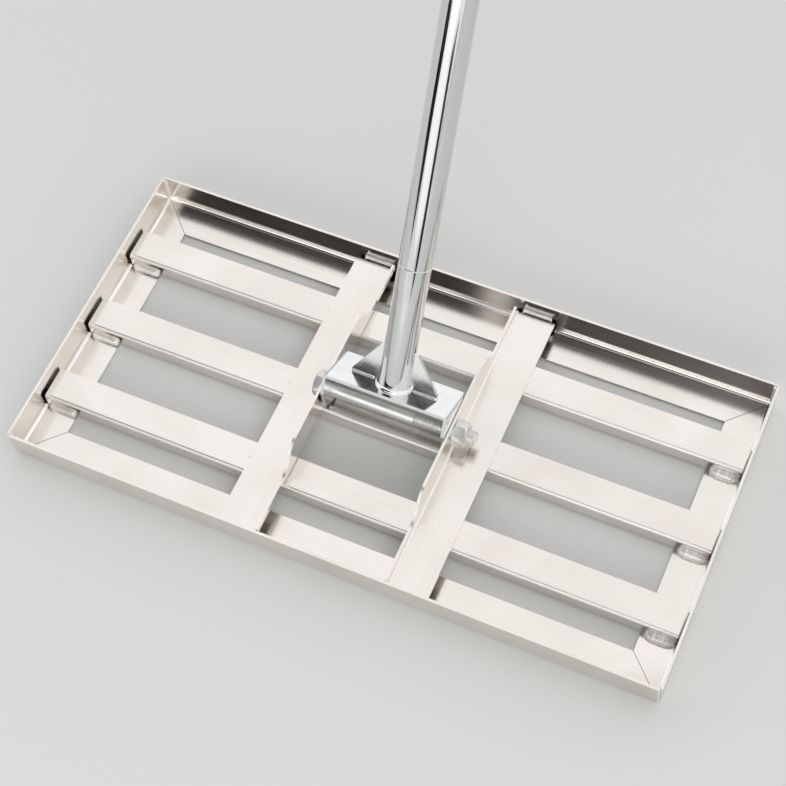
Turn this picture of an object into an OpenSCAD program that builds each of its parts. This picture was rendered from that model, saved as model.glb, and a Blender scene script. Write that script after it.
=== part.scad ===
// Lawn leveling rake: a welded stainless steel drag frame with three slats
// and two cross members, and a long tube handle on a swinging U bracket.
// Origin: middle of the frame on the ground. X runs along the long side,
// Y from front to back, Z up. All lengths in millimetres.

/* [Frame] */
// Outside length of the frame
frame_l = 510; // [400:1:920]
// Outside width of the frame, front to back
frame_w = 252; // [220:1:320]
// Height of the upright walls
wall_h = 28; // [22:0.5:40]
// Width of the flange that lies on the ground
flange_w = 29.5; // [22:0.5:40]
// Thickness of the bent sheet of the frame, the slats and the cross members
sheet_t = 2; // [1.5:0.1:3]
// Inside radius of the frame angles' bends
frame_bend_r = 3; // [1:0.1:4]
// Inside radius of the cross members' bends, twice that of the slats' bends
bend_r = 1.5; // [1:0.1:3]
// Rounding of the frame's upright corners after grinding
corner_r = 3; // [0.5:0.1:5]
// Seam left open between two mitred frame pieces
mitre_gap = 0.4; // [0.2:0.1:1]

/* [Slats] */
// Width of a slat
slat_w = 25.5; // [20:0.5:35]
// Height of a slat above the flange that it stands on
slat_h = 13; // [10:0.5:20]
// Distance between the middles of two slats
slat_pitch = 68; // [60:0.5:75]
// Slit between a slat's end and the wall
slat_slit = 2; // [1:0.1:4]

/* [Cross members] */
// Gap between the bracket and the upright leg on each side
side_clear = 1; // [0.8:0.1:3]
// Width of a cross member, leg included
cross_w = 32.6; // [24:0.1:45]
// Slit between a cross member's front end and the wall
cross_front_slit = 2.5; // [1:0.1:3.5]
// Slit between a cross member's back end and the wall
cross_back_slit = 4.5; // [3:0.1:6]
// Height of the low lip at the ends
lip_h = 8; // [6:0.5:10]
// Height of the ear that carries the pivot
ear_h = 27; // [25:0.5:32]
// Half length of the ear's level top
ear_half = 50; // [30:1:60]
// Length of the curved run from the ear down to the lip
ear_run = 30; // [20:1:40]

/* [Pivot] */
// Height of the pivot above the ground
pivot_z = 31.5; // [30:0.5:32.5]
// Lean of the handle from upright, towards the back
lean = 29; // [0:1:45]
// Thread diameter of the pivot bolt
bolt_d = 12; // [10:1:12]
// Thread that stands out of the nut
thread_out = 6.6; // [2:0.1:10]
// Width across the flats of the head and the nut
hex_af = 18; // [16:0.5:18]
// Height of the bolt head
head_h = 7; // [6:0.5:8]
// Height of the nut
nut_h = 10; // [8:0.5:11]
// Radial clearance of the bolt in the bracket
run_clear = 0.05; // [0.02:0.01:0.1]
// Radial clearance of the bolt in the cross members
hole_clear = 0.3; // [0.2:0.1:0.5]

/* [Bracket] */
// Outside width of the bracket
bracket_w = 97.4; // [80:0.1:130]
// Depth of the bracket along its top plate
bracket_d = 38; // [30:1:42]
// Top of the plate above the pivot
plate_rise = 22.2; // [21:0.1:30]
// Thickness of the bracket's plate
bracket_t = 2.5; // [2:0.1:4]
// Inside radius of the bracket's two bends
bracket_bend_r = 0.8; // [0.5:0.1:4]
// How far the bracket sits to the right of the middle on the bolt
slide = 0.7; // [-0.7:0.1:0.7]
// Radius of the ears' foot around the pivot
foot_r = 13.5; // [11:0.5:14]
// Height above the pivot where the ears start to narrow
shoulder_v = 5; // [5:0.5:9]
// Reach of a gusset from the tube's middle
gusset_reach = 33.5; // [25:0.5:38]
// Height of a gusset up the tube
gusset_h = 30; // [20:0.5:45]
// Thickness of a gusset
gusset_t = 3; // [2:0.1:4]

/* [Handle] */
// Outside diameter of the tubes
tube_d = 24; // [22:0.5:28]
// Wall of the tubes
tube_t = 1; // [0.8:0.1:1.5]
// Broken edge at the tubes' ends
seam_edge = 0.4; // [0.2:0.1:0.6]
// Length of the stub welded to the bracket
stub_len = 101; // [70:1:140]
// Length of one screwed handle section
section_len = 350; // [250:5:480]
// Length of a connector inside the tubes
connector_len = 40; // [30:1:80]
// Wall of a connector
connector_t = 1.5; // [1:0.1:3]
// Length of the plug of the end cap inside the tube
cap_plug = 22; // [15:1:30]
// Height of the end cap above the tube
cap_rise = 7; // [5:0.5:10]
// Step from the tube down to the end cap
cap_step = 0.2; // [0.1:0.1:0.5]

/* [Welds] */
// Radius of the fillet beads at the slats' left ends
bead_left = 3.5; // [2:0.1:5]
// Radius of the fillet beads at the slats' right ends
bead_right = 6; // [4:0.1:8]
// Radius of the beads in the frame's upright corners
bead_corner = 2.5; // [1.5:0.1:4]
// Radius of the ring bead at the stub's foot
bead_ring = 2.5; // [1.5:0.1:4]
// Radius of the beads along the gussets' feet
bead_gusset = 1.2; // [0.8:0.1:2]
// Radius of a tack weld
tack_r = 1.6; // [1:0.1:2.5]

/* [Hidden] */
$fn = 96;
// Overshoot of a cutting shape past the face that it cuts
over = 1;
// Clearance of a connector or plug inside a tube
slip = 0.05;
// Inner faces of the frame's walls
wall_x = frame_l / 2 - sheet_t;
wall_y = frame_w / 2 - sheet_t;
// Inner edge of the flanges at the ends
edge_x = frame_l / 2 - flange_w;
// Top of the slats, where the cross members lie
slat_top = sheet_t + slat_h;
slat_end_x = wall_x - slat_slit;
// Corner cut from the slats' legs, which clears the bend of the end angles
leg_notch = max(frame_bend_r - slat_slit, 0) + 0.3;
// Cross members: inner and outer side, and ends
leg_x = bracket_w / 2 + side_clear;
cross_x = leg_x + cross_w;
cross_front_y = cross_front_slit - wall_y;
cross_back_y = wall_y - cross_back_slit;
cross_len = cross_back_y - cross_front_y;
// The ear's shoulder is two equal arcs that meet halfway down
ear_drop = ear_h - lip_h;
ear_arc = (ear_run * ear_run + ear_drop * ear_drop) / (4 * ear_drop);
ear_mid = lip_h + ear_drop / 2;
// Outside radius of the bracket's bends
bracket_r = bracket_bend_r + bracket_t;
// Pivot hardware along the bolt
bolt_r = bolt_d / 2;
leg_out = leg_x + sheet_t;
bolt_len = 2 * leg_out + nut_h + thread_out;
// Handle: distances along the tube from the pivot
tube_r = tube_d / 2;
tube_in = tube_r - tube_t;
stub_top = plate_rise + stub_len;
handle_top = stub_top + 4 * section_len;

steel = [0.86, 0.85, 0.83];
bright = [0.82, 0.83, 0.85];
weld_metal = [0.72, 0.71, 0.69];
black = [0.06, 0.06, 0.065];

// Quarter of a disc in the corner at the origin, towards +X and +Y
module quarter(r) {
    intersection() {
        circle(r = r);
        square(r);
    }
}

// Material that a bend of radius r takes away from a square corner at the origin
module corner_cut(r) {
    difference() {
        translate([-over, -over])
            square(r + over);
        translate([r, r])
            circle(r = r);
    }
}

// Bent angle: a flat along +X, a leg along +Y, outer corner at the origin
module angle_profile(flat_w, leg_h, inner_r) {
    difference() {
        union() {
            square([flat_w, sheet_t]);
            square([sheet_t, leg_h]);
            square(sheet_t + inner_r);
        }
        translate([sheet_t + inner_r, sheet_t + inner_r])
            circle(r = inner_r);
        corner_cut(sheet_t + inner_r);
    }
}

// Frame outline seen from above, with ground corners
module frame_outline() {
    inner_l = frame_l / 2 - corner_r;
    inner_w = frame_w / 2 - corner_r;
    square([frame_l, frame_w - 2 * corner_r], center = true);
    square([frame_l - 2 * corner_r, frame_w], center = true);
    for (sx = [-1, 1])
        for (sy = [-1, 1])
            translate([sx * inner_l, sy * inner_w])
                circle(r = corner_r);
}

// Frame piece of the given length along X, wall at the -Y side, ends mitred
module frame_angle(len) {
    half = len / 2;
    reach = flange_w + over;
    difference() {
        translate([-half, 0, 0])
            rotate([90, 0, 90])
                linear_extrude(len)
                    angle_profile(flange_w, wall_h, frame_bend_r);
        for (side = [-1, 1])
            translate([side * (half - mitre_gap / sqrt(2)), 0, -over])
                rotate([0, 0, side * 45])
                    translate([side > 0 ? 0 : -2 * reach, -reach, 0])
                        cube([2 * reach, 4 * reach, wall_h + 2 * over]);
    }
}

// Keeps a placed frame piece inside the ground outline
module ground_flush() {
    intersection() {
        children();
        translate([0, 0, -over])
            linear_extrude(wall_h + 2 * over)
                frame_outline();
    }
}

module frame_front_angle() {
    color(steel)
        ground_flush()
            translate([0, -frame_w / 2, 0])
                frame_angle(frame_l);
}

module frame_back_angle() {
    color(steel)
        ground_flush()
            translate([0, frame_w / 2, 0])
                rotate([0, 0, 180])
                    frame_angle(frame_l);
}

module frame_left_angle() {
    color(steel)
        ground_flush()
            translate([-frame_l / 2, 0, 0])
                rotate([0, 0, -90])
                    frame_angle(frame_w);
}

module frame_right_angle() {
    color(steel)
        ground_flush()
            translate([frame_l / 2, 0, 0])
                rotate([0, 0, 90])
                    frame_angle(frame_w);
}

// Upright beads that close the four mitred corners on the inside
module frame_corner_welds() {
    foot = sheet_t + frame_bend_r;
    color(weld_metal)
        for (sx = [-1, 1])
            for (sy = [-1, 1])
                translate([sx * wall_x, sy * wall_y, foot])
                    linear_extrude(wall_h - foot - 1)
                        scale([-sx, -sy])
                            quarter(bead_corner);
}

// Slat: flat on top, leg on the front side standing on the frame's flanges
module slat(y) {
    color(steel)
        difference() {
            translate([-slat_end_x, y - slat_w / 2, slat_top])
                rotate([90, 0, 90])
                    linear_extrude(2 * slat_end_x)
                        mirror([0, 1])
                            angle_profile(slat_w, slat_h, bend_r / 2);
            for (x = [-slat_end_x - over, slat_end_x - leg_notch])
                translate([x, y - slat_w / 2 - over, sheet_t - over])
                    cube([leg_notch + over, sheet_t + 2 * over, leg_notch + over]);
        }
}

module slat_front() {
    slat(-slat_pitch);
}

module slat_middle() {
    slat(0);
}

module slat_back() {
    slat(slat_pitch);
}

// Fillet bead along X with round ends, in the corner towards -Y and +Z
module fillet_bead(x0, x1, r) {
    intersection() {
        union() {
            translate([x0 + r, 0, 0])
                rotate([0, 90, 0])
                    cylinder(r = r, h = x1 - x0 - 2 * r);
            for (x = [x0 + r, x1 - r])
                translate([x, 0, 0])
                    sphere(r = r);
        }
        translate([x0 - over, -r - over, 0])
            cube([x1 - x0 + 2 * over, r + over, r + over]);
    }
}

// Beads between the slats' legs and the end flanges
module slat_end_welds() {
    color(weld_metal)
        for (y = [-slat_pitch, 0, slat_pitch])
            translate([0, y - slat_w / 2, sheet_t]) {
                fillet_bead(-slat_end_x + 1, -edge_x - 1, bead_left);
                fillet_bead(edge_x + 1, slat_end_x - 1, bead_right);
            }
}

// Side view of a cross member along Y: low lips, and a tall ear in the middle
module ear_outline() {
    shoulder = ear_half + ear_run;
    difference() {
        translate([cross_front_y, 0])
            square([cross_len, ear_mid]);
        for (side = [-1, 1])
            translate([side * shoulder, lip_h + ear_arc])
                circle(r = ear_arc);
        for (side = [0, 1])
            mirror([side, 0])
                translate([shoulder, lip_h])
                    square([wall_y, ear_h]);
    }
    intersection() {
        union() {
            translate([-ear_half, 0])
                square([2 * ear_half, ear_h]);
            for (side = [-1, 1])
                translate([side * ear_half, ear_h - ear_arc])
                    circle(r = ear_arc);
        }
        translate([cross_front_y, ear_mid - 0.01])
            square([cross_len, ear_h]);
    }
}

// Cross member on the right: flat on the slats, leg upright on the inner side
module cross_member() {
    difference() {
        intersection() {
            translate([leg_x, cross_back_y, slat_top])
                rotate([90, 0, 0])
                    linear_extrude(cross_len)
                        angle_profile(cross_w, ear_h, bend_r);
            translate([leg_x - over, 0, slat_top])
                rotate([90, 0, 90])
                    linear_extrude(cross_w + 2 * over)
                        ear_outline();
        }
        translate([leg_x - over, 0, pivot_z])
            rotate([0, 90, 0])
                cylinder(r = bolt_r + hole_clear, h = sheet_t + 2 * over);
    }
}

module cross_member_left() {
    color(steel)
        mirror([1, 0, 0])
            cross_member();
}

module cross_member_right() {
    color(steel)
        cross_member();
}

// End weld of a cross member, in a slit along X with the wall on its +Y side:
// a thin bead along the wall, and at each end of it a blob that fills the slit
module end_weld(slit) {
    inset = 3;
    wall_gap = 0.05;
    bead_r = slit / 4;
    reach = (cross_w - sheet_t - slit) / 2 - inset;
    translate([0, slit / 2 - bead_r - wall_gap, 0])
        rotate([0, 90, 0])
            cylinder(r = bead_r, h = 2 * reach, center = true);
    for (sx = [-1, 1])
        translate([sx * reach, 0, 0])
            sphere(r = slit / 2);
}

// Welds that join the cross members' ends to the front and back walls
module cross_end_welds() {
    color(weld_metal)
        for (sx = [-1, 1])
            translate([sx * (leg_out + cross_x) / 2, 0, slat_top + sheet_t / 2]) {
                translate([0, cross_front_y - cross_front_slit / 2, 0])
                    mirror([0, 1, 0])
                        end_weld(cross_front_slit);
                translate([0, cross_back_y + cross_back_slit / 2, 0])
                    end_weld(cross_back_slit);
            }
}

// Tack welds where the cross members' outer edges pass over the slats
module cross_tack_welds() {
    color(weld_metal)
        for (sx = [-1, 1])
            for (y = [-slat_pitch, 0, slat_pitch])
                translate([sx * cross_x, y, slat_top])
                    intersection() {
                        sphere(r = tack_r);
                        translate([sx > 0 ? 0 : -2 * tack_r, -tack_r, 0])
                            cube(2 * tack_r);
                    }
}

// Hexagon along X from the origin, chamfered at its far end, corner upwards
module hex_block(h) {
    corner = hex_af / sqrt(3);
    chamfer = corner - hex_af / 2;
    rotate([0, 90, 0])
        intersection() {
            cylinder(r = corner, h = h, $fn = 6);
            rotate_extrude()
                polygon([
                    [0, 0],
                    [corner, 0],
                    [corner, h - chamfer / 2],
                    [corner - chamfer, h],
                    [0, h],
                ]);
        }
}

// Bolt with its head outside the left cross member
module pivot_bolt() {
    tip = 1.2;
    color(bright)
        translate([-leg_out, 0, pivot_z]) {
            rotate([0, 90, 0])
                rotate_extrude()
                    polygon([
                        [0, -1],
                        [bolt_r, -1],
                        [bolt_r, bolt_len - tip],
                        [bolt_r - tip, bolt_len],
                        [0, bolt_len],
                    ]);
            mirror([1, 0, 0])
                hex_block(head_h);
        }
}

module pivot_nut() {
    color(bright)
        translate([leg_out, 0, pivot_z])
            difference() {
                hex_block(nut_h);
                translate([-over, 0, 0])
                    rotate([0, 90, 0])
                        cylinder(r = bolt_r + slip, h = nut_h + 2 * over);
            }
}

// Frame of the swinging pieces: pivot at the origin, tube along +Z
module on_pivot() {
    translate([slide, 0, pivot_z])
        rotate([-lean, 0, 0])
            children();
}

// Front view of the bracket: an inverted U with two round bends
module bracket_profile() {
    half = bracket_w / 2;
    drop = plate_rise + foot_r + over;
    difference() {
        union() {
            translate([-half, -foot_r - over])
                square([bracket_w, drop - bracket_r]);
            translate([-half + bracket_r, 0])
                square([bracket_w - 2 * bracket_r, plate_rise]);
            for (side = [-1, 1])
                translate([side * (half - bracket_r), plate_rise - bracket_r])
                    circle(r = bracket_r);
        }
        translate([-half + bracket_t, -foot_r - 2 * over])
            square([bracket_w - 2 * bracket_t, drop - bracket_r + over]);
        translate([-half + bracket_r, -foot_r - 2 * over])
            square([bracket_w - 2 * bracket_r, drop - bracket_t + over]);
        for (side = [-1, 1])
            translate([side * (half - bracket_r), plate_rise - bracket_r])
                circle(r = bracket_bend_r);
    }
}

// Side view of an ear: full depth at the plate, narrowing to a round foot
module bracket_side() {
    half = bracket_d / 2;
    far = sqrt(half * half + shoulder_v * shoulder_v);
    touch = atan2(shoulder_v, half) - acos(foot_r / far);
    translate([-half, shoulder_v])
        square([bracket_d, plate_rise - shoulder_v + over]);
    polygon([
        [-half, shoulder_v + 0.01],
        [-foot_r * cos(touch), foot_r * sin(touch)],
        [0, 0],
        [foot_r * cos(touch), foot_r * sin(touch)],
        [half, shoulder_v + 0.01],
    ]);
    circle(r = foot_r);
}

module handle_bracket() {
    color(bright)
        on_pivot()
            difference() {
                intersection() {
                    translate([0, bracket_d / 2, 0])
                        rotate([90, 0, 0])
                            linear_extrude(bracket_d)
                                bracket_profile();
                    translate([-bracket_w / 2 - over, 0, 0])
                        rotate([90, 0, 90])
                            linear_extrude(bracket_w + 2 * over)
                                bracket_side();
                }
                translate([-bracket_w / 2 - over, 0, 0])
                    rotate([0, 90, 0])
                        cylinder(r = bolt_r + run_clear, h = bracket_w + 2 * over);
            }
}

// Gusset on the right side of the stub
module gusset() {
    nose = 2;
    difference() {
        translate([0, gusset_t / 2, plate_rise])
            rotate([90, 0, 0])
                linear_extrude(gusset_t)
                    polygon([
                        [tube_in, 0],
                        [gusset_reach, 0],
                        [gusset_reach, nose],
                        [tube_r + nose, gusset_h],
                        [tube_in, gusset_h],
                    ]);
        translate([0, 0, plate_rise - over])
            cylinder(r = tube_r, h = gusset_h + 2 * over);
    }
}

module gusset_left() {
    color(bright)
        on_pivot()
            mirror([1, 0, 0])
                gusset();
}

module gusset_right() {
    color(bright)
        on_pivot()
            gusset();
}

// Beads along both sides of both gussets, on the plate
module gusset_welds() {
    start = tube_r + bead_ring + 0.5;
    color(weld_metal)
        on_pivot()
            for (sx = [0, 1])
                for (sy = [0, 1])
                    mirror([sx, 0, 0])
                        mirror([0, sy, 0])
                            translate([0, -gusset_t / 2, plate_rise])
                                fillet_bead(start, gusset_reach, bead_gusset);
}

// Length of tube with its outer edges broken, so that a seam shows as a groove
module tube(z0, len, lower_edge) {
    translate([0, 0, z0])
        rotate_extrude()
            polygon([
                [tube_in, 0],
                [tube_r - lower_edge, 0],
                [tube_r, lower_edge],
                [tube_r, len - seam_edge],
                [tube_r - seam_edge, len],
                [tube_in, len],
            ]);
}

module stub_tube() {
    color(bright)
        on_pivot()
            tube(plate_rise, stub_len, 0);
}

// Ring bead at the stub's foot, broken where the gussets stand
module stub_weld() {
    color(weld_metal)
        on_pivot()
            difference() {
                translate([0, 0, plate_rise])
                    rotate_extrude()
                        translate([tube_r, 0])
                            quarter(bead_ring);
                translate([-gusset_reach, -gusset_t / 2, plate_rise - over])
                    cube([2 * gusset_reach, gusset_t, bead_ring + 2 * over]);
            }
}

// Handle section, counted from the stub upwards
module handle_section(i) {
    color(bright)
        on_pivot()
            tube(stub_top + (i - 1) * section_len, section_len, seam_edge);
}

module handle_section_1() {
    handle_section(1);
}

module handle_section_2() {
    handle_section(2);
}

module handle_section_3() {
    handle_section(3);
}

module handle_section_4() {
    handle_section(4);
}

// Sleeve inside the tubes, centred on the seam below section i
module connector(i) {
    r = tube_in - slip;
    seam = stub_top + (i - 1) * section_len;
    color(steel)
        on_pivot()
            translate([0, 0, seam - connector_len / 2])
                difference() {
                    cylinder(r = r, h = connector_len);
                    translate([0, 0, -over])
                        cylinder(r = r - connector_t, h = connector_len + 2 * over);
                }
}

module connector_1() {
    connector(1);
}

module connector_2() {
    connector(2);
}

module connector_3() {
    connector(3);
}

module connector_4() {
    connector(4);
}

// Plug with a rounded head that closes the top of the handle
module handle_end_cap() {
    r = tube_r - cap_step;
    round_r = 4;
    color(black)
        on_pivot()
            translate([0, 0, handle_top])
                rotate_extrude() {
                    translate([0, -cap_plug])
                        square([tube_in - slip, cap_plug]);
                    square([r, cap_rise - round_r]);
                    square([r - round_r, cap_rise]);
                    translate([r - round_r, cap_rise - round_r])
                        quarter(round_r);
                }
}

frame_front_angle();
frame_back_angle();
frame_left_angle();
frame_right_angle();
frame_corner_welds();
slat_front();
slat_middle();
slat_back();
slat_end_welds();
cross_member_left();
cross_member_right();
cross_end_welds();
cross_tack_welds();
pivot_bolt();
pivot_nut();
handle_bracket();
gusset_left();
gusset_right();
gusset_welds();
stub_tube();
stub_weld();
handle_section_1();
handle_section_2();
handle_section_3();
handle_section_4();
connector_1();
connector_2();
connector_3();
connector_4();
handle_end_cap();
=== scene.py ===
"""Lawn leveling rake: finishes, thread and weld beads over the part's solids."""

import math

import bmesh
import bpy
from mathutils import Matrix, Vector


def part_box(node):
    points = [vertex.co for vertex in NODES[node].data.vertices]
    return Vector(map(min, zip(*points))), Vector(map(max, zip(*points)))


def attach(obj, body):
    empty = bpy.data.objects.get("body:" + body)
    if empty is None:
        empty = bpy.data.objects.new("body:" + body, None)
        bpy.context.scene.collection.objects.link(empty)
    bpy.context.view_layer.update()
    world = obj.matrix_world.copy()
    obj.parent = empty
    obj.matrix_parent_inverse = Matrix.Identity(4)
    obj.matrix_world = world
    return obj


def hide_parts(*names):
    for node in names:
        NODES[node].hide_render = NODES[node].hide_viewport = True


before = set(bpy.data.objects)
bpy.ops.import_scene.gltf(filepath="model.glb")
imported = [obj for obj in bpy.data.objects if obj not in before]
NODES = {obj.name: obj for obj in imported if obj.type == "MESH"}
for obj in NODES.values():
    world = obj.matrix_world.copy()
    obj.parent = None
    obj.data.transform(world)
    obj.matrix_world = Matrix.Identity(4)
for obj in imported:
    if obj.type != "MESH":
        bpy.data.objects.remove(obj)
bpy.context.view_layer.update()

bl_info = {
    "name": "Lawn Leveling Rake",
    "version": (1, 0, 0),
    "blender": (4, 5, 0),
    "location": "View3D > Sidebar > Rake",
    "description": "Dresses a lawn leveling rake and sets a plain studio around it",
    "category": "Object",
}

MM = 0.001
# Thickness of the stainless sheet.
SHEET = 2 * MM
# Height of the pivot's axis, and how far the handle leans back at rest.
PIVOT_Z = 31.5 * MM
LEAN = math.radians(29)
# Outer faces of the ears, where the bolt's head and the nut seat.
LEG_OUT = 51.7 * MM
# Length of the bolt under its head.
BOLT_LEN = 120 * MM
# The frame's inner corner, about half way up; the other three fold onto it.
CORNER = (253 * MM, 124 * MM, 12 * MM)
# Middle and half size of the slit behind a cross member, where black is painted as painted
# shade.
BACK_SLIT = ((66 * MM, 120.8 * MM, 7 * MM), (15.6 * MM, 3.8 * MM, 7.8 * MM))
# The same for the slit at a slat's end, with all slats folded onto one.
END_SLIT = ((252.2 * MM, 0, 8.2 * MM), (1.4 * MM, 13 * MM, 9 * MM))
SLIT_FADE = 0.4 * MM
SLAT_STEP = 68 * MM
# Sides of a turned piece.
ROUND = 64
# How far pieces run into each other before they are combined.
OVERLAP = 1 * MM
# Points closer than this are one point.
TOUCH = 1e-6


def linear(text):
    """Linear colour of an sRGB hex value."""
    parts = [int(text[i : i + 2], 16) / 255 for i in (1, 3, 5)]
    return [c / 12.92 if c <= 0.04045 else ((c + 0.055) / 1.055) ** 2.4 for c in parts]


def rgba(color):
    """Opaque colour for a node's socket."""
    return (*color, 1.0)


class RakeFinish(bpy.types.PropertyGroup):
    """Colours of the rake's metals and plastic."""

    sheet: bpy.props.FloatVectorProperty(
        name="Sheet",
        description="Satin polished stainless sheet of the frame and slats",
        subtype="COLOR",
        size=3,
        min=0,
        max=1,
        default=linear("#F0EBE6"),
    )
    sheet_dark: bpy.props.FloatVectorProperty(
        name="Sheet, worn",
        description="Duller patches of the stainless sheet",
        subtype="COLOR",
        size=3,
        min=0,
        max=1,
        default=linear("#E4DED7"),
    )
    heat: bpy.props.FloatVectorProperty(
        name="Heat tint",
        description="Straw tint that welding leaves on the sheet",
        subtype="COLOR",
        size=3,
        min=0,
        max=1,
        default=linear("#B4A999"),
    )
    # Painted highlight: the bends and cut edges are painted in this paler colour.
    bend: bpy.props.FloatVectorProperty(
        name="Bends",
        description="Pale painted highlight on the bends and cut edges",
        subtype="COLOR",
        size=3,
        min=0,
        max=1,
        default=linear("#FCFAF7"),
    )
    # Painted shade: this near black is painted into the narrow slits, where shade falls.
    scale: bpy.props.FloatVectorProperty(
        name="Painted slit shade",
        description="Black shade painted into the welded slits",
        subtype="COLOR",
        size=3,
        min=0,
        max=1,
        default=linear("#1E1B19"),
    )
    tube: bpy.props.FloatVectorProperty(
        name="Tube",
        description="Mirror polished stainless tube of the handle",
        subtype="COLOR",
        size=3,
        min=0,
        max=1,
        default=linear("#E4E5E6"),
    )
    plate: bpy.props.FloatVectorProperty(
        name="Bracket",
        description="Bright plated steel of the bracket and gussets",
        subtype="COLOR",
        size=3,
        min=0,
        max=1,
        default=linear("#F6F7F8"),
    )
    zinc: bpy.props.FloatVectorProperty(
        name="Bolt",
        description="Bright zinc of the bolt and the nut",
        subtype="COLOR",
        size=3,
        min=0,
        max=1,
        default=linear("#F4F4F2"),
    )
    bead: bpy.props.FloatVectorProperty(
        name="Weld bead",
        description="Brushed weld metal",
        subtype="COLOR",
        size=3,
        min=0,
        max=1,
        default=linear("#FBF9F5"),
    )
    plastic: bpy.props.FloatVectorProperty(
        name="End cap",
        description="Moulded polyethylene of the end cap",
        subtype="COLOR",
        size=3,
        min=0,
        max=1,
        default=linear("#1A1B1C"),
    )


class RakeHardware(bpy.types.PropertyGroup):
    """Sizes of the pivot bolt, its nut and the weld beads."""

    shank_r: bpy.props.FloatProperty(
        name="Shank radius",
        description="Radius of the bolt's plain shank",
        unit="LENGTH",
        default=6 * MM,
    )
    thread_len: bpy.props.FloatProperty(
        name="Thread length",
        description="Length of the thread, from the bolt's end",
        unit="LENGTH",
        default=48 * MM,
    )
    thread_pitch: bpy.props.FloatProperty(
        name="Thread pitch",
        description="Advance of the thread in one turn",
        unit="LENGTH",
        default=1.75 * MM,
    )
    thread_depth: bpy.props.FloatProperty(
        name="Thread depth",
        description="Height of the thread from root to crest",
        unit="LENGTH",
        default=0.95 * MM,
    )
    tip: bpy.props.FloatProperty(
        name="Tip chamfer",
        description="Chamfer at the bolt's end",
        unit="LENGTH",
        default=1.2 * MM,
    )
    head_flats: bpy.props.FloatProperty(
        name="Head across flats",
        description="Width of the hexagon head across its flats",
        unit="LENGTH",
        default=18 * MM,
    )
    head_h: bpy.props.FloatProperty(
        name="Head height",
        description="Height of the hexagon head",
        unit="LENGTH",
        default=7 * MM,
    )
    nut_h: bpy.props.FloatProperty(
        name="Nut height",
        description="Height of the hexagon nut",
        unit="LENGTH",
        default=10 * MM,
    )
    bead_left: bpy.props.FloatProperty(
        name="Left bead",
        description="Leg of the fillet beads at the slats' left ends",
        unit="LENGTH",
        default=3.5 * MM,
    )
    bead_right: bpy.props.FloatProperty(
        name="Right bead",
        description="Leg of the fillet beads at the slats' right ends",
        unit="LENGTH",
        default=6 * MM,
    )
    ripple: bpy.props.FloatProperty(
        name="Bead ripple",
        description="Distance between two ripples of a weld bead",
        unit="LENGTH",
        default=2.2 * MM,
    )


class RakeStudio(bpy.types.PropertyGroup):
    """Camera, floor and light."""

    floor: bpy.props.FloatVectorProperty(
        name="Floor",
        description="Plain pale floor",
        subtype="COLOR",
        size=3,
        min=0,
        max=1,
        default=linear("#E0E1DF"),
    )
    camera_place: bpy.props.FloatVectorProperty(
        name="Camera place",
        description="Where the camera stands",
        subtype="TRANSLATION",
        unit="LENGTH",
        size=3,
        default=(0.31236, -0.51597, 1.13813),
    )
    camera_turn: bpy.props.FloatVectorProperty(
        name="Camera turn",
        description="Turn of the camera about X, Y and Z",
        subtype="EULER",
        unit="ROTATION",
        size=3,
        default=[math.radians(a) for a in (28.8528, 3.7356, 24.0701)],
    )
    lens: bpy.props.FloatProperty(
        name="Lens",
        description="Focal length in millimetres on a 36 mm sensor",
        unit="CAMERA",
        default=79.104,
    )


def add_node(tree, kind, inputs=None, **settings):
    """Adds a node, sets it, and links or fills its inputs."""
    made = tree.nodes.new(kind)
    for name, value in settings.items():
        setattr(made, name, value)
    for name, value in (inputs or {}).items():
        if isinstance(value, bpy.types.NodeSocket):
            tree.links.new(value, made.inputs[name])
        else:
            made.inputs[name].default_value = value
    return made


def new_material(name):
    """Empty material with its output, ready for a shader."""
    material = bpy.data.materials.new(name)
    material.use_nodes = True
    tree = material.node_tree
    tree.nodes.clear()
    return material, tree, add_node(tree, "ShaderNodeOutputMaterial")


def largest(tree, vector):
    """Largest of a vector's three axes."""
    axes = add_node(tree, "ShaderNodeSeparateXYZ", {0: vector})
    level = add_node(
        tree,
        "ShaderNodeMath",
        {0: axes.outputs["X"], 1: axes.outputs["Y"]},
        operation="MAXIMUM",
    )
    level = add_node(
        tree,
        "ShaderNodeMath",
        {0: level.outputs["Value"], 1: axes.outputs["Z"]},
        operation="MAXIMUM",
    )
    return level.outputs["Value"]


def box_mask(tree, place, middle, half):
    """Mask of a box: 1 inside, falling to 0 at its faces."""
    away = add_node(
        tree, "ShaderNodeVectorMath", {0: place, 1: middle}, operation="SUBTRACT"
    )
    away = add_node(
        tree, "ShaderNodeVectorMath", {0: away.outputs["Vector"]}, operation="ABSOLUTE"
    )
    away = add_node(
        tree,
        "ShaderNodeVectorMath",
        {0: away.outputs["Vector"], 1: half},
        operation="SUBTRACT",
    )
    mask = add_node(
        tree,
        "ShaderNodeMapRange",
        {
            "Value": largest(tree, away.outputs["Vector"]),
            "From Min": -SLIT_FADE,
            "From Max": 0.0,
            "To Min": 1.0,
            "To Max": 0.0,
        },
    )
    return mask.outputs["Result"]


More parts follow.
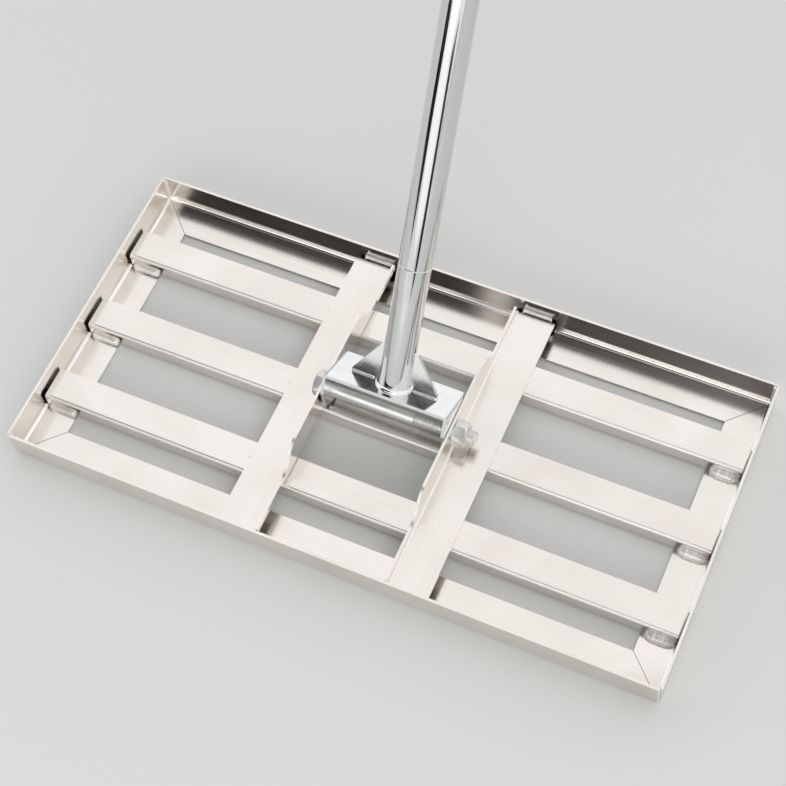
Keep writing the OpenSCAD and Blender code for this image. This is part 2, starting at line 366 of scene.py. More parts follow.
def satin_stainless(name, run, dull_bends):
    """Stainless sheet, rolled and satin polished: fine lines along the run, soft
    cloudy tone, bends and cut edges painted paler as a painted highlight, a faint
    straw tint around the corner welds, and black painted shade in the narrow
    slits that were welded. dull_bends is added to the roughness of the bends."""
    finish = bpy.context.scene.rake_finish
    material, tree, output = new_material(name)
    place = add_node(tree, "ShaderNodeTexCoord").outputs["Object"]
    # Polishing lines are about 0.2 mm wide; drawn 1.1 mm wide so that they show.
    fine, long = 1 / (1.1 * MM), 1 / (90 * MM)
    stretch = {"X": (long, fine, fine), "Y": (fine, long, fine)}[run]
    along = add_node(tree, "ShaderNodeMapping", {"Vector": place, "Scale": stretch})
    lines = add_node(
        tree,
        "ShaderNodeTexNoise",
        {"Vector": along.outputs["Vector"], "Scale": 1.0, "Detail": 3.0, "Roughness": 0.6},
    )
    # Buffing clouds about 70 mm across.
    clouds = add_node(
        tree,
        "ShaderNodeTexNoise",
        {"Vector": place, "Scale": 1 / (70 * MM), "Detail": 2.0, "Distortion": 0.6},
    )
    worn = add_node(
        tree,
        "ShaderNodeMath",
        {0: lines.outputs["Fac"], 1: 0.35, 2: clouds.outputs["Fac"]},
        operation="MULTIPLY_ADD",
    )
    tone = add_node(
        tree,
        "ShaderNodeMapRange",
        {"Value": worn.outputs["Value"], "From Min": 0.53, "From Max": 0.9, "To Max": 0.8},
    )
    sheet = add_node(
        tree,
        "ShaderNodeMix",
        {
            "Factor": tone.outputs["Result"],
            6: rgba(finish.sheet),
            7: rgba(finish.sheet_dark),
        },
        data_type="RGBA",
    )
    # Straw tint that fades out 34 mm from each corner weld.
    folded = add_node(tree, "ShaderNodeVectorMath", {0: place}, operation="ABSOLUTE")
    corner = add_node(
        tree,
        "ShaderNodeVectorMath",
        {0: folded.outputs["Vector"], 1: CORNER},
        operation="DISTANCE",
    )
    near = add_node(
        tree,
        "ShaderNodeMapRange",
        {
            "Value": corner.outputs["Value"],
            "From Min": 6 * MM,
            "From Max": 34 * MM,
            "To Min": 0.4,
            "To Max": 0.0,
        },
        interpolation_type="SMOOTHSTEP",
    )
    patch = add_node(
        tree,
        "ShaderNodeMath",
        {0: near.outputs["Result"], 1: clouds.outputs["Fac"]},
        operation="MULTIPLY",
    )
    tinted = add_node(
        tree,
        "ShaderNodeMix",
        {"Factor": patch.outputs["Value"], 6: sheet.outputs[2], 7: rgba(finish.heat)},
        data_type="RGBA",
    )
    # Bends and cut edges are the faces that lie along no axis.
    facing = add_node(
        tree,
        "ShaderNodeVectorMath",
        {0: add_node(tree, "ShaderNodeNewGeometry").outputs["Normal"]},
        operation="ABSOLUTE",
    )
    bent = add_node(
        tree,
        "ShaderNodeMapRange",
        {
            "Value": largest(tree, facing.outputs["Vector"]),
            "From Min": 0.9,
            "From Max": 0.99,
            "To Min": 1.0,
            "To Max": 0.0,
        },
    )
    # Painted highlight: the bends and cut edges are painted paler than the sheet.
    pale = add_node(
        tree,
        "ShaderNodeMix",
        {"Factor": bent.outputs["Result"], 6: tinted.outputs[2], 7: rgba(finish.bend)},
        data_type="RGBA",
    )
    # Painted shade: black painted into the slits at the back ends of the two cross members,
    # folded onto one.
    axes = add_node(tree, "ShaderNodeSeparateXYZ", {0: place})
    out = add_node(tree, "ShaderNodeMath", {0: axes.outputs["X"]}, operation="ABSOLUTE")
    mirrored = add_node(
        tree,
        "ShaderNodeCombineXYZ",
        {"X": out.outputs["Value"], "Y": axes.outputs["Y"], "Z": axes.outputs["Z"]},
    )
    back_slits = box_mask(tree, mirrored.outputs["Vector"], *BACK_SLIT)
    # Painted shade, as above, in the slits at the ends of the slats: one in the middle, one
    # a step to each side.
    axes = add_node(tree, "ShaderNodeSeparateXYZ", {0: folded.outputs["Vector"]})
    outer = add_node(
        tree,
        "ShaderNodeMath",
        {0: axes.outputs["Y"], 1: SLAT_STEP},
        operation="SUBTRACT",
    )
    outer = add_node(
        tree, "ShaderNodeMath", {0: outer.outputs["Value"]}, operation="ABSOLUTE"
    )
    row = add_node(
        tree,
        "ShaderNodeMath",
        {0: axes.outputs["Y"], 1: outer.outputs["Value"]},
        operation="MINIMUM",
    )
    nearest = add_node(
        tree,
        "ShaderNodeCombineXYZ",
        {"X": axes.outputs["X"], "Y": row.outputs["Value"], "Z": axes.outputs["Z"]},
    )
    end_slits = box_mask(tree, nearest.outputs["Vector"], *END_SLIT)
    slit = add_node(
        tree,
        "ShaderNodeMath",
        {0: back_slits, 1: end_slits},
        operation="MAXIMUM",
    )
    # Painted shade: the slits are painted near black.
    slit_shaded = add_node(
        tree,
        "ShaderNodeMix",
        {"Factor": slit.outputs["Value"], 6: pale.outputs[2], 7: rgba(finish.scale)},
        data_type="RGBA",
    )
    gloss = add_node(
        tree,
        "ShaderNodeMapRange",
        {
            "Value": lines.outputs["Fac"],
            "From Min": 0.3,
            "From Max": 0.7,
            "To Min": 0.16,
            "To Max": 0.22,
        },
    )
    dull = add_node(
        tree,
        "ShaderNodeMath",
        {0: bent.outputs["Result"], 1: dull_bends, 2: gloss.outputs["Result"]},
        operation="MULTIPLY_ADD",
    )
    relief = add_node(
        tree,
        "ShaderNodeBump",
        {"Height": lines.outputs["Fac"], "Strength": 0.04, "Distance": 0.05 * MM},
    )
    shader = add_node(
        tree,
        "ShaderNodeBsdfPrincipled",
        {
            "Base Color": slit_shaded.outputs[2],
            "Metallic": 1.0,
            "Roughness": dull.outputs["Value"],
            "Normal": relief.outputs["Normal"],
        },
    )
    tree.links.new(shader.outputs["BSDF"], output.inputs["Surface"])
    return material


def polished_tube():
    """Stainless tube, drawn and mirror polished: clear reflections, broken by
    faint draw lines along the tube."""
    finish = bpy.context.scene.rake_finish
    material, tree, output = new_material("stainless_tube_mirror_polished")
    place = add_node(tree, "ShaderNodeTexCoord").outputs["Object"]
    upright = add_node(
        tree,
        "ShaderNodeVectorRotate",
        {"Vector": place, "Center": (0, 0, PIVOT_Z), "Angle": LEAN},
        rotation_type="X_AXIS",
    )
    # Draw lines are hair thin; drawn 0.8 mm wide and 160 mm long so that they show.
    fine, long = 1 / (0.8 * MM), 1 / (160 * MM)
    stretch = add_node(
        tree,
        "ShaderNodeMapping",
        {"Vector": upright.outputs["Vector"], "Scale": (fine, fine, long)},
    )
    lines = add_node(
        tree,
        "ShaderNodeTexNoise",
        {"Vector": stretch.outputs["Vector"], "Scale": 1.0, "Detail": 2.0},
    )
    tone = add_node(
        tree,
        "ShaderNodeMix",
        {
            "Factor": lines.outputs["Fac"],
            6: rgba(finish.tube),
            7: rgba([c * 0.86 for c in finish.tube]),
        },
        data_type="RGBA",
    )
    gloss = add_node(
        tree,
        "ShaderNodeMapRange",
        {
            "Value": lines.outputs["Fac"],
            "From Min": 0.35,
            "From Max": 0.7,
            "To Min": 0.05,
            "To Max": 0.13,
        },
    )
    relief = add_node(
        tree,
        "ShaderNodeBump",
        {"Height": lines.outputs["Fac"], "Strength": 0.06, "Distance": 0.05 * MM},
    )
    shader = add_node(
        tree,
        "ShaderNodeBsdfPrincipled",
        {
            "Base Color": tone.outputs[2],
            "Metallic": 1.0,
            "Roughness": gloss.outputs["Result"],
            "Normal": relief.outputs["Normal"],
        },
    )
    tree.links.new(shader.outputs["BSDF"], output.inputs["Surface"])
    return material


def plated_steel(name, color, low, high, grain):
    """Pressed steel with a bright plating: slightly uneven gloss, its roughness
    between low and high, over fine orange peel with bumps of the grain's size."""
    material, tree, output = new_material(name)
    place = add_node(tree, "ShaderNodeTexCoord").outputs["Object"]
    peel = add_node(
        tree,
        "ShaderNodeTexNoise",
        {"Vector": place, "Scale": 1 / grain, "Detail": 3.0, "Roughness": 0.55},
    )
    clouds = add_node(
        tree,
        "ShaderNodeTexNoise",
        {"Vector": place, "Scale": 1 / (14 * MM), "Detail": 2.0},
    )
    tone = add_node(
        tree,
        "ShaderNodeMix",
        {
            "Factor": clouds.outputs["Fac"],
            6: rgba(color),
            7: rgba([c * 0.84 for c in color]),
        },
        data_type="RGBA",
    )
    gloss = add_node(
        tree,
        "ShaderNodeMapRange",
        {
            "Value": clouds.outputs["Fac"],
            "From Min": 0.35,
            "From Max": 0.7,
            "To Min": low,
            "To Max": high,
        },
    )
    relief = add_node(
        tree,
        "ShaderNodeBump",
        {"Height": peel.outputs["Fac"], "Strength": 0.1, "Distance": 0.1 * MM},
    )
    shader = add_node(
        tree,
        "ShaderNodeBsdfPrincipled",
        {
            "Base Color": tone.outputs[2],
            "Metallic": 1.0,
            "Roughness": gloss.outputs["Result"],
            "Normal": relief.outputs["Normal"],
        },
    )
    tree.links.new(shader.outputs["BSDF"], output.inputs["Surface"])
    return material


def weld_metal():
    """Stainless weld metal, wire brushed: pale and grainy, with darker pits. The
    thin oxide left on it scatters light, so it mirrors less than the sheet."""
    finish = bpy.context.scene.rake_finish
    material, tree, output = new_material("stainless_weld_wire_brushed")
    place = add_node(tree, "ShaderNodeTexCoord").outputs["Object"]
    # Spatter and brush grain, about 1.4 mm.
    grain = add_node(
        tree,
        "ShaderNodeTexNoise",
        {"Vector": place, "Scale": 1 / (1.4 * MM), "Detail": 4.0, "Roughness": 0.65},
    )
    pits = add_node(
        tree,
        "ShaderNodeMapRange",
        {"Value": grain.outputs["Fac"], "From Min": 0.36, "From Max": 0.58},
    )
    tone = add_node(
        tree,
        "ShaderNodeMix",
        {
            "Factor": pits.outputs["Result"],
            6: rgba([c * 0.88 for c in finish.bead]),
            7: rgba(finish.bead),
        },
        data_type="RGBA",
    )
    relief = add_node(
        tree,
        "ShaderNodeBump",
        {"Height": grain.outputs["Fac"], "Strength": 0.35, "Distance": 0.3 * MM},
    )
    shader = add_node(
        tree,
        "ShaderNodeBsdfPrincipled",
        {
            "Base Color": tone.outputs[2],
            "Metallic": 0.6,
            "Roughness": 0.4,
            "Normal": relief.outputs["Normal"],
        },
    )
    tree.links.new(shader.outputs["BSDF"], output.inputs["Surface"])
    return material


def moulded_plastic():
    """Polyethylene, injection moulded: near black, low gloss, fine spark grain
    of 0.6 mm."""
    finish = bpy.context.scene.rake_finish
    material, tree, output = new_material("polyethylene_moulded_black")
    place = add_node(tree, "ShaderNodeTexCoord").outputs["Object"]
    grain = add_node(
        tree,
        "ShaderNodeTexNoise",
        {"Vector": place, "Scale": 1 / (0.6 * MM), "Detail": 2.0},
    )
    gloss = add_node(
        tree,
        "ShaderNodeMapRange",
        {
            "Value": grain.outputs["Fac"],
            "From Min": 0.3,
            "From Max": 0.7,
            "To Min": 0.42,
            "To Max": 0.6,
        },
    )
    relief = add_node(
        tree,
        "ShaderNodeBump",
        {"Height": grain.outputs["Fac"], "Strength": 0.2, "Distance": 0.1 * MM},
    )
    tone = add_node(
        tree,
        "ShaderNodeMix",
        {
            "Factor": grain.outputs["Fac"],
            6: rgba(finish.plastic),
            7: rgba([c * 1.5 for c in finish.plastic]),
        },
        data_type="RGBA",
    )
    shader = add_node(
        tree,
        "ShaderNodeBsdfPrincipled",
        {
            "Base Color": tone.outputs[2],
            "Roughness": gloss.outputs["Result"],
            "Normal": relief.outputs["Normal"],
        },
    )
    tree.links.new(shader.outputs["BSDF"], output.inputs["Surface"])
    return material


def paint(names, material):
    """Gives the CAD nodes one material."""
    for name in names:
        slots = NODES[name].data.materials
        slots.clear()
        slots.append(material)


class RAKE_OT_frame(bpy.types.Operator):
    """Finish the four frame angles"""

    bl_idname = "rake.frame"
    bl_label = "Frame Angles"

    def execute(self, context):
        paint(
            ["frame_front_angle", "frame_back_angle"],
            satin_stainless("stainless_frame_satin_long", run="X", dull_bends=0.0),
        )
        paint(
            ["frame_left_angle", "frame_right_angle"],
            satin_stainless("stainless_frame_satin_short", run="Y", dull_bends=0.0),
        )
        return {"FINISHED"}


class RAKE_OT_slats(bpy.types.Operator):
    """Finish the three slats"""

    bl_idname = "rake.slats"
    bl_label = "Slats"

    def execute(self, context):
        paint(
            ["slat_front", "slat_middle", "slat_back"],
            satin_stainless("stainless_slat_satin", run="X", dull_bends=0.35),
        )
        return {"FINISHED"}


class RAKE_OT_cross_members(bpy.types.Operator):
    """Finish the two cross members"""

    bl_idname = "rake.cross_members"
    bl_label = "Cross Members"

    def execute(self, context):
        paint(
            ["cross_member_left", "cross_member_right"],
            satin_stainless("stainless_cross_satin", run="Y", dull_bends=0.45),
        )
        return {"FINISHED"}


# Turns a cylinder's axis to X and its first corner upwards.
CORNER_UP = (
    Matrix.Rotation(math.pi / 2, 3, "X") @ Matrix.Rotation(math.pi / 2, 3, "Y")
).to_euler()


def cylinder_along_x(radius, x0, x1, vertices):
    """Closed cylinder on the pivot's axis from x0 to x1, a corner of it upwards."""
    bpy.ops.object.select_all(action="DESELECT")
    bpy.ops.mesh.primitive_cylinder_add(
        vertices=vertices,
        radius=radius,
        depth=x1 - x0,
        location=((x0 + x1) / 2, 0, PIVOT_Z),
        rotation=CORNER_UP,
    )
    bpy.ops.object.transform_apply(location=True, rotation=True, scale=True)
    return bpy.context.object


def bevel_end(piece, x, width):
    """Chamfers the rim of the flat end at x."""
    bpy.ops.object.mode_set(mode="EDIT")
    bpy.ops.mesh.select_mode(type="EDGE")
    bpy.ops.mesh.select_all(action="DESELECT")
    mesh = bmesh.from_edit_mesh(piece.data)
    for edge in mesh.edges:
        edge.select = all(abs(vert.co.x - x) < TOUCH for vert in edge.verts)
    bmesh.update_edit_mesh(piece.data)
    bpy.ops.mesh.bevel(offset=width, offset_type="OFFSET", segments=1)
    bpy.ops.object.mode_set(mode="OBJECT")


def combine(piece, other, operation):
    """Applies a Boolean of the other piece and deletes that piece."""
    bpy.ops.object.select_all(action="DESELECT")
    piece.select_set(True)
    bpy.context.view_layer.objects.active = piece
    cut = piece.modifiers.new("combine", "BOOLEAN")
    cut.operation = operation
    cut.solver = "EXACT"
    cut.object = other
    bpy.ops.object.modifier_apply(modifier=cut.name)
    bpy.data.objects.remove(other)


def thread(crest_r, depth, pitch, x0, x1):
    """Screw thread on the pivot's axis from x0 to x1, with flat closed ends."""
    # Two spare turns at each end, which the end planes cut off.
    start = x0 - 2 * pitch
    turns = math.ceil((x1 - start) / pitch) + 2
    bpy.ops.object.select_all(action="DESELECT")
    bpy.ops.mesh.primitive_plane_add(size=pitch, location=(0, 0, 0))
    piece = bpy.context.object
    bpy.ops.object.mode_set(mode="EDIT")
    bpy.ops.mesh.select_mode(type="VERT")
    bpy.ops.mesh.select_all(action="SELECT")
    bpy.ops.mesh.merge(type="CENTER")
    bpy.ops.transform.translate(value=(start, 0, crest_r - depth))
    # Flank up, narrow crest, flank down, as shares of the pitch.
    for share, rise in ((0.44, depth), (0.12, 0), (0.44, -depth)):
        step = (share * pitch, 0, rise)
        bpy.ops.mesh.extrude_region_move(TRANSFORM_OT_translate={"value": step})
    bpy.ops.object.mode_set(mode="OBJECT")
    sweep = piece.modifiers.new("sweep", "SCREW")
    sweep.axis = "X"
    sweep.screw_offset = pitch
    sweep.iterations = turns
    sweep.steps = sweep.render_steps = ROUND
    bpy.ops.object.modifier_apply(modifier=sweep.name)
    bpy.ops.object.mode_set(mode="EDIT")
    bpy.ops.mesh.select_all(action="SELECT")
    bpy.ops.mesh.remove_doubles(threshold=TOUCH)
    for x, outward in ((x0, (-1, 0, 0)), (x1, (1, 0, 0))):
        bpy.ops.mesh.select_all(action="SELECT")
        bpy.ops.mesh.bisect(
            plane_co=(x, 0, 0), plane_no=outward, use_fill=True, clear_outer=True
        )
    bpy.ops.mesh.select_all(action="SELECT")
    bpy.ops.mesh.normals_make_consistent(inside=False)
    bpy.ops.transform.translate(value=(0, 0, PIVOT_Z))
    bpy.ops.object.mode_set(mode="OBJECT")
    return piece


def hexagon(flats, x0, x1, crowned):
    """Hexagon block on the pivot's axis, its corners turned off at the crowned ends."""
    corner_r = flats / math.sqrt(3)
    block = cylinder_along_x(corner_r, x0, x1, 6)
    crown = cylinder_along_x(corner_r, x0, x1, ROUND)
    for x in crowned:
        # Cut a little further than the flats, so that a full circle shows.
        bevel_end(crown, x, (corner_r - flats / 2) * 1.15)
    combine(block, crown, "INTERSECT")
    return block


def dress(piece, name, material, body, node):
    """Names a finished piece, smooths it, and sets it in place of its CAD node."""
    piece.name = piece.data.name = name
    bpy.ops.object.select_all(action="DESELECT")
    piece.select_set(True)
    bpy.context.view_layer.objects.active = piece
    bpy.ops.object.shade_smooth_by_angle(angle=math.radians(35))
    piece.data.materials.clear()
    piece.data.materials.append(material)
    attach(piece, body)
    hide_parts(node)


class RAKE_OT_pivot(bpy.types.Operator):
    """Model the threaded pivot bolt and its nut"""

    bl_idname = "rake.pivot"
    bl_label = "Pivot Bolt"

    def execute(self, context):
        finish = context.scene.rake_finish
        sizes = context.scene.rake_hardware
        zinc = plated_steel(
            "steel_zinc_plated_bright", finish.zinc, low=0.38, high=0.5, grain=1.2 * MM
        )
        end = BOLT_LEN - LEG_OUT
        start = end - sizes.thread_len
        # A rolled thread's crests lie just under the shank.
        crest_r = sizes.shank_r - 0.07 * MM
        bolt = thread(crest_r, sizes.thread_depth, sizes.thread_pitch, start, end)
        # A slightly wider cylinder with a chamfer cuts the thread's tip.
        envelope_r = sizes.shank_r + 0.1 * MM
        envelope = cylinder_along_x(envelope_r, start - OVERLAP, end, ROUND)
        bevel_end(envelope, end, sizes.tip)
        combine(bolt, envelope, "INTERSECT")
        shank = cylinder_along_x(
            sizes.shank_r, -LEG_OUT - OVERLAP, start + OVERLAP / 2, ROUND
        )
        combine(bolt, shank, "UNION")
        top = -LEG_OUT - sizes.head_h
        combine(bolt, hexagon(sizes.head_flats, top, -LEG_OUT, [top]), "UNION")
        dress(bolt, "pivot_bolt_threaded", zinc, "head", "pivot_bolt")
        face = LEG_OUT + sizes.nut_h
        nut = hexagon(sizes.head_flats, LEG_OUT, face, [LEG_OUT, face])
        bore = cylinder_along_x(sizes.shank_r, LEG_OUT - OVERLAP, face + OVERLAP, ROUND)
        combine(nut, bore, "DIFFERENCE")
        dress(nut, "pivot_nut_crowned", zinc, "head", "pivot_nut")
        return {"FINISHED"}


def weld_bead(x0, x1, center, radius, ripple, swell, anchor):
    """Round bead along X: ripples that bow forward, and ends that swell or taper.

    Each ring is a circle whose upper front leads by 0.4 of its radius, so that the
    ripples are arcs. Rings are resized about the anchor, a point across the bead.
    At its ends the bead has swell times its size."""
    slope = math.sqrt(0.5)
    lead = Vector((0.4, -slope, slope))
    across = Vector((0, slope, slope))
    turn = Matrix((across, lead.normalized(), across.cross(lead.normalized()))).transposed()
    bpy.ops.object.select_all(action="DESELECT")
    bpy.ops.mesh.primitive_circle_add(
        vertices=32,
        radius=radius,
        fill_type="NGON",
        location=(x0, *center),
        rotation=turn.to_euler(),
    )
    piece = bpy.context.object
    piece.scale.y = lead.length
    bpy.ops.object.transform_apply(location=True, rotation=True, scale=True)
    # The leading points of the end rings stay between x0 and x1.
    inset = lead.x * radius * swell
    x0 += inset
    x1 -= inset
    bpy.ops.object.mode_set(mode="EDIT")
    bpy.ops.mesh.select_mode(type="FACE")
    bpy.ops.mesh.select_all(action="SELECT")
    bpy.ops.transform.translate(value=(inset, 0, 0))
    count = round((x1 - x0) / ripple)
    pitch = (x1 - x0) / count
    # Valleys between ripples are 0.2 mm deep, and the ends reach in 1.2 radii.
    valley = 1 - 0.2 * MM / radius
    reach = 1.2 * radius
    rings = [(0.0, swell)]
    for i in range(count):
        # Hand laid, so no two ripples are alike: each is up to 5 % lower.
        lower = 0.025 * (1 + math.sin(2.4 * i))
        for part, size in ((0.3, 1 - lower), (0.7, 0.99 - lower), (1.0, valley)):
            along = (i + part) * pitch
            edge = min(along, x1 - x0 - along) / reach
            ends = swell + (1 - swell) * math.sqrt(1 - (1 - min(edge, 1)) ** 2)
            rings.append((along, size * ends))
    bpy.ops.transform.resize(value=(swell, swell, swell), center_override=(x0, *anchor))
    for (last_x, last), (x, size) in zip(rings, rings[1:]):
        step = (x - last_x, 0, 0)
        bpy.ops.mesh.extrude_region_move(TRANSFORM_OT_translate={"value": step})
        growth = (1, size / last, size / last)
        bpy.ops.transform.resize(value=growth, center_override=(x0, *anchor))
    bpy.ops.mesh.select_all(action="SELECT")
    bpy.ops.mesh.normals_make_consistent(inside=False)
    bpy.ops.object.mode_set(mode="OBJECT")
    return piece


def cut_away(piece, point, outward):
    """Cuts off what lies beyond a plane and closes the cut."""
    bpy.ops.object.mode_set(mode="EDIT")
    bpy.ops.mesh.select_all(action="SELECT")
    bpy.ops.mesh.bisect(plane_co=point, plane_no=outward, use_fill=True, clear_outer=True)
    bpy.ops.object.mode_set(mode="OBJECT")


def copies(piece, steps):
    """The piece and copies of it, each moved by one step."""
    made = [piece]
    for step in steps:
        bpy.ops.object.select_all(action="DESELECT")
        piece.select_set(True)
        bpy.context.view_layer.objects.active = piece
        bpy.ops.object.duplicate(linked=False)
        bpy.ops.transform.translate(value=step)
        bpy.ops.object.transform_apply(location=True, rotation=True, scale=True)
        made.append(bpy.context.object)
    return made


def join(pieces):
    """Joins the pieces into the first one."""
    bpy.ops.object.select_all(action="DESELECT")
    for piece in pieces:
        piece.select_set(True)
    bpy.context.view_layer.objects.active = pieces[0]
    bpy.ops.object.join()
    return pieces[0]


class RAKE_OT_welds(bpy.types.Operator):
    """Model the rippled beads and finish the small welds"""

    bl_idname = "rake.welds"
    bl_label = "Weld Beads"

    def execute(self, context):
        sizes = context.scene.rake_hardware
        metal = weld_metal()
        paint(["frame_corner_welds", "cross_tack_welds"], metal)
        # Fillets in the corners between the slats' legs and the end flanges. They
        # stop 1 mm short of the flange's edge and taper to 0.45 of their size.
        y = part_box("slat_front")[0][1]
        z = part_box("slat_front")[0][2]
        rows = [(0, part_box(name)[0][1] - y, 0) for name in ("slat_middle", "slat_back")]
        low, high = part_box("slat_end_welds")
        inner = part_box("frame_right_angle")[0][0] + 1 * MM
        beads = []
        for x0, x1, radius in (
            (low[0], -inner, sizes.bead_left),
            (inner, high[0], sizes.bead_right),
        ):
            fillet = weld_bead(
                x0, x1, (y, z), radius, sizes.ripple, swell=0.45, anchor=(y, z)
            )
            cut_away(fillet, (0, y, 0), (0, 1, 0))
            cut_away(fillet, (0, 0, z), (0, 0, -1))
            beads += copies(fillet, rows)
        dress(join(beads), "slat_end_beads", metal, "head", "slat_end_welds")
        # Beads along the walls at the cross members' ends. They are thinner than
        # the slit, and swell to fill it at both ends.
        low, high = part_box("cross_member_right")
        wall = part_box("cross_end_welds")[1][1]
        height = low[2] + SHEET / 2
        over = (-low[0] - high[0], 0, 0)
        beads = []
        for side, edge in ((-1, low[1]), (1, high[1])):
            radius = (wall - abs(edge)) * 0.36
            # Set back 5 mm and 3 mm from the sides of the cross member.
            bead = weld_bead(
                low[0] + 5 * MM,
                high[0] - 3 * MM,
                (side * (wall - radius), height),
                radius,
                sizes.ripple,
                swell=1.4,
                anchor=(side * wall, height),
            )
            beads += copies(bead, [over])
        dress(join(beads), "cross_end_beads", metal, "head", "cross_end_welds")
        return {"FINISHED"}


class RAKE_OT_bracket(bpy.types.Operator):
    """Finish the bracket and its gussets"""

    bl_idname = "rake.bracket"
    bl_label = "Bracket"

    def execute(self, context):
        finish = context.scene.rake_finish
        paint(
            ["handle_bracket", "gusset_welds", "stub_weld"],
            plated_steel(
                "steel_bright_plated", finish.plate, low=0.08, high=0.16, grain=2.5 * MM
            ),
        )
        paint(
            ["gusset_left", "gusset_right"],
            plated_steel(
                "steel_satin_plated", finish.plate, low=0.24, high=0.36, grain=2.5 * MM
            ),
        )
        return {"FINISHED"}


class RAKE_OT_handle(bpy.types.Operator):
    """Finish the tubes, the connectors and the end cap"""

    bl_idname = "rake.handle"
    bl_label = "Handle"

    def execute(self, context):
        sections = range(1, 5)
        tubes = ["stub_tube"] + ["handle_section_%d" % i for i in sections]
        paint(tubes, polished_tube())
        connectors = ["connector_%d" % i for i in sections]
        paint(connectors, bpy.data.materials["stainless_slat_satin"])
        paint(["handle_end_cap"], moulded_plastic())
        return {"FINISHED"}


def soft_box(name, place, target, size, strength):
    """Area lamp that faces the target; strength is the brightness of its face."""
    lamp = bpy.data.lights.new(name, "AREA")
    lamp.shape = "RECTANGLE"
    lamp.size, lamp.size_y = size
    lamp.energy = strength * math.pi * size[0] * size[1]
    lamp_object = bpy.data.objects.new(name, lamp)
    lamp_object.location = place
    facing = Vector(target) - Vector(place)
    lamp_object.rotation_euler = facing.to_track_quat("-Z", "Y").to_euler()
    bpy.context.scene.collection.objects.link(lamp_object)


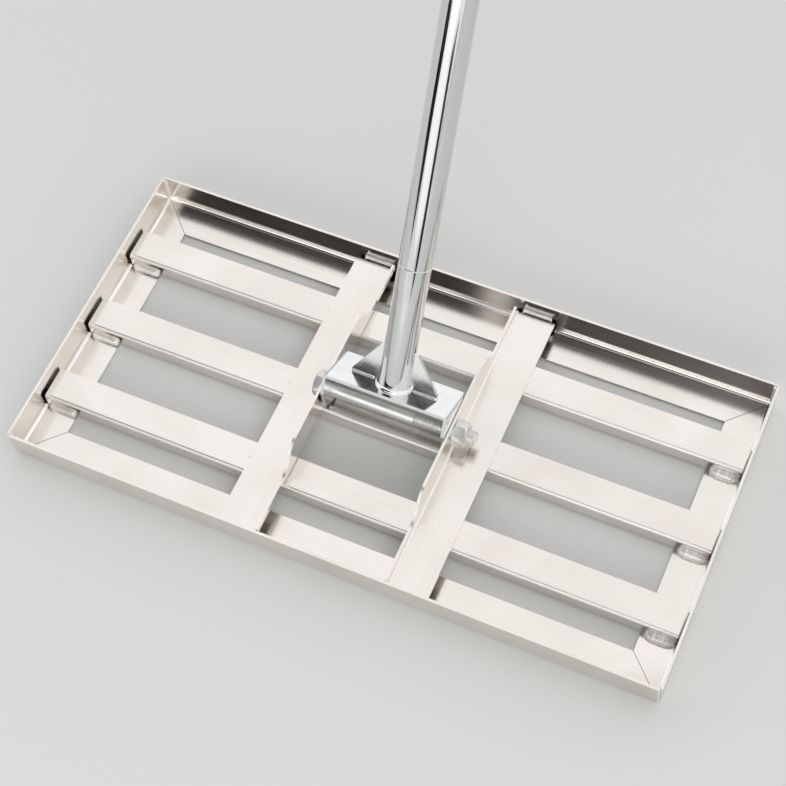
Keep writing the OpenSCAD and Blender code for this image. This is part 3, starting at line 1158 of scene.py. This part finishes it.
class RAKE_OT_studio(bpy.types.Operator):
    """Set the floor, the light and the camera"""

    bl_idname = "rake.studio"
    bl_label = "Studio"

    def execute(self, context):
        studio = context.scene.rake_studio
        bpy.ops.object.select_all(action="DESELECT")
        # Its edge is far off, and it lies just under the flanges.
        bpy.ops.mesh.primitive_plane_add(size=40, location=(0, 0, -0.3 * MM))
        floor = context.object
        floor.name = "studio_floor"
        material, tree, output = new_material("studio_paper")
        shader = add_node(
            tree,
            "ShaderNodeBsdfPrincipled",
            {
                "Base Color": rgba(studio.floor),
                "Roughness": 0.9,
                "Specular IOR Level": 0.1,
            },
        )
        tree.links.new(shader.outputs["BSDF"], output.inputs["Surface"])
        floor.data.materials.append(material)
        # The strip whitens the band on the tube, the box the bends of the sheet.
        soft_box("front_strip", (-0.2, -1.5, 0.27), (0, 0, 0.27), (1.0, 0.5), strength=0.2)
        soft_box("front_soft_box", (0, -2.6, 1.32), (0, 0, 0.1), (4.0, 1.35), strength=1.3)
        cloth, tree, output = new_material("studio_black_cloth")
        shader = add_node(tree, "ShaderNodeBsdfDiffuse", {"Color": (0.01, 0.01, 0.01, 1)})
        tree.links.new(shader.outputs["BSDF"], output.inputs["Surface"])
        # Upright flags that draw the dark lines on the polished tube.
        height = 0.34
        for name, place, turn, width in (
            ("studio_flag_left", (-0.774, -0.78, 0.22), -34, 0.45),
            ("studio_flag_right", (0.46, -0.96, 0.22), 22, 0.25),
        ):
            bpy.ops.object.select_all(action="DESELECT")
            bpy.ops.mesh.primitive_plane_add(
                size=height,
                location=place,
                rotation=(math.radians(90), 0, math.radians(turn)),
            )
            flag = context.object
            flag.name = name
            flag.scale.x = width / height
            bpy.ops.object.transform_apply(location=True, rotation=True, scale=True)
            flag.visible_camera = flag.visible_diffuse = flag.visible_shadow = False
            flag.data.materials.append(cloth)
        world = bpy.data.worlds.new("studio_room")
        world.use_nodes = True
        room = world.node_tree
        room.nodes.clear()
        # White room, dark only above the front left: black within acos(0.955) of
        # that direction, and white beyond acos(0.77).
        dark = Vector((-0.43, -0.48, 0.766)).normalized()
        toward = add_node(
            room,
            "ShaderNodeVectorMath",
            {0: add_node(room, "ShaderNodeTexCoord").outputs["Object"], 1: dark},
            operation="DOT_PRODUCT",
        )
        level = add_node(
            room,
            "ShaderNodeMapRange",
            {
                "Value": toward.outputs["Value"],
                "From Min": 0.77,
                "From Max": 0.955,
                "To Min": 1.04,
                "To Max": 0.0,
            },
            interpolation_type="SMOOTHSTEP",
        )
        glow = add_node(
            room,
            "ShaderNodeBackground",
            {"Color": (1, 1, 1, 1), "Strength": level.outputs["Result"]},
        )
        add_node(room, "ShaderNodeOutputWorld", {"Surface": glow.outputs["Background"]})
        context.scene.world = world
        camera = bpy.data.cameras.new("photo_camera")
        camera.sensor_width = 36
        camera.lens = studio.lens
        camera_object = bpy.data.objects.new("photo_camera", camera)
        camera_object.location = studio.camera_place
        camera_object.rotation_euler = studio.camera_turn
        context.scene.collection.objects.link(camera_object)
        context.scene.camera = camera_object
        context.scene.view_settings.view_transform = "Standard"
        return {"FINISHED"}


class RAKE_PT_panel(bpy.types.Panel):
    """Sidebar panel with the rake's sizes, colours and steps"""

    bl_label = "Lawn Leveling Rake"
    bl_idname = "RAKE_PT_panel"
    bl_space_type = "VIEW_3D"
    bl_region_type = "UI"
    bl_category = "Rake"

    def draw(self, context):
        for group_name in GROUPS:
            group = getattr(context.scene, group_name)
            box = self.layout.box()
            for name in group.bl_rna.properties.keys():
                if name not in ("rna_type", "name"):
                    box.prop(group, name)
        for step in STEPS:
            self.layout.operator(step.bl_idname)


GROUPS = {
    "rake_finish": RakeFinish,
    "rake_hardware": RakeHardware,
    "rake_studio": RakeStudio,
}
STEPS = (
    RAKE_OT_frame,
    RAKE_OT_slats,
    RAKE_OT_cross_members,
    RAKE_OT_welds,
    RAKE_OT_pivot,
    RAKE_OT_bracket,
    RAKE_OT_handle,
    RAKE_OT_studio,
)


def register():
    for group in GROUPS.values():
        bpy.utils.register_class(group)
    for name, group in GROUPS.items():
        setattr(bpy.types.Scene, name, bpy.props.PointerProperty(type=group))
    for step in STEPS:
        bpy.utils.register_class(step)
    bpy.utils.register_class(RAKE_PT_panel)


def unregister():
    bpy.utils.unregister_class(RAKE_PT_panel)
    for step in reversed(STEPS):
        bpy.utils.unregister_class(step)
    for name, group in GROUPS.items():
        delattr(bpy.types.Scene, name)
        bpy.utils.unregister_class(group)


def main():
    register()
    bpy.ops.rake.frame()
    bpy.ops.rake.slats()
    bpy.ops.rake.cross_members()
    bpy.ops.rake.welds()
    bpy.ops.rake.pivot()
    bpy.ops.rake.bracket()
    bpy.ops.rake.handle()
    bpy.ops.rake.studio()


if __name__ == "__main__":
    main()
